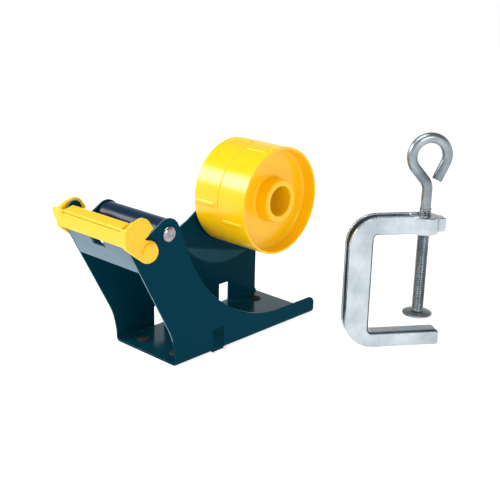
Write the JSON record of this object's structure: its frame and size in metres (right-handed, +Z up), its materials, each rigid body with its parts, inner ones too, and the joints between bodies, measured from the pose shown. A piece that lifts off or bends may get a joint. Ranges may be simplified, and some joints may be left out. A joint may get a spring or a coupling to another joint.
{
  "type": "tape dispenser",
  "caption": "Bench dispenser for packing tape: bent steel channel, roller, guarded serrated blade, plastic core hub with a brake, and a loose screw clamp.",
  "frame": {"origin": "on the centre line of the base's underside, within 1 mm of its middle, on the bench", "axes": "+X from the cutting edge to the rear, +Y towards the tall wall that carries the hub, +Z up"},
  "size_m": [0.2024, 0.1636, 0.1449],
  "materials": {
    "teal_paint": "gloss powder coat",
    "plate_paint": "gloss powder coat",
    "blade_steel": "ground",
    "rivet_steel": "satin",
    "leaf_steel": "bright",
    "axle_nickel": "bright nickel",
    "turned_steel": "turned",
    "zinc_hardware": "zinc plated",
    "fibre_washer": "matt",
    "spring_wire": "drawn wire",
    "plug_rubber": "matt",
    "roller_blue": "gloss",
    "black_nylon": "satin",
    "hub_yellow": "gloss moulding",
    "guard_yellow": "gloss moulding",
    "clamp_zinc": "bright zinc plated",
    "screw_zinc": "zinc plated",
    "pad_zinc": "zinc plated"
  },
  "bodies": {
    "frame": {"frame": "teal_paint", "front_plate": "plate_paint", "blade": "blade_steel", "blade_rivets": "rivet_steel", "spring_tongue": "leaf_steel", "tongue_rivet": "rivet_steel", "roller_axle": "axle_nickel", "roller_axle_cap": "axle_nickel", "hub_axle": "turned_steel", "hub_axle_washer": "zinc_hardware", "hub_axle_nut": "zinc_hardware", "brake_washer": "fibre_washer", "brake_spring": "spring_wire", "brake_nut": "zinc_hardware", "base_plugs": "plug_rubber"},
    "roller": {"roller_tube": "roller_blue", "roller_bush_near": "black_nylon", "roller_bush_far": "black_nylon"},
    "hub": {"hub_outer": "hub_yellow", "hub_inner": "hub_yellow"},
    "guard": {"guard": "guard_yellow"},
    "clamp": {"clamp_frame": "clamp_zinc"},
    "clamp_pad": {"clamp_pad": "pad_zinc"},
    "clamp_screw": {"clamp_screw": "screw_zinc"}
  },
  "joints": [
    {"name": "hub_spin", "type": "hinge", "parent": "frame", "child": "hub", "pos_m": [0.0365, 0, 0.0885], "axis": [0, 1, 0], "continuous": true},
    {"name": "roller_spin", "type": "hinge", "parent": "frame", "child": "roller", "pos_m": [-0.074, 0, 0.09], "axis": [0, 1, 0], "continuous": true},
    {"name": "guard_swing", "type": "hinge", "parent": "frame", "child": "guard", "pos_m": [-0.0925, 0, 0.0833], "axis": [0, -1, 0], "range_deg": [0, 30], "stiffness_Nm_per_rad": 0.03, "springref_deg": -20.05},
    {"name": "clamp_lift", "type": "slide", "parent": "frame", "child": "clamp", "axis": [0, 0, 1], "range_m": [0, 0.06]},
    {"name": "pad_travel", "type": "slide", "parent": "clamp", "child": "clamp_pad", "axis": [0, 0, -1], "range_m": [-0.05, 0.01]},
    {"name": "screw_turn", "type": "hinge", "parent": "clamp_pad", "child": "clamp_screw", "pos_m": [0.07751, -0.11215, 0.03], "axis": [0, 0, -1], "range_deg": [-14410, 2890]}
  ],
  "couplings": [
    {"joint": "screw_turn", "follows": "pad_travel", "rad_per_m": 5026.5}
  ]
}
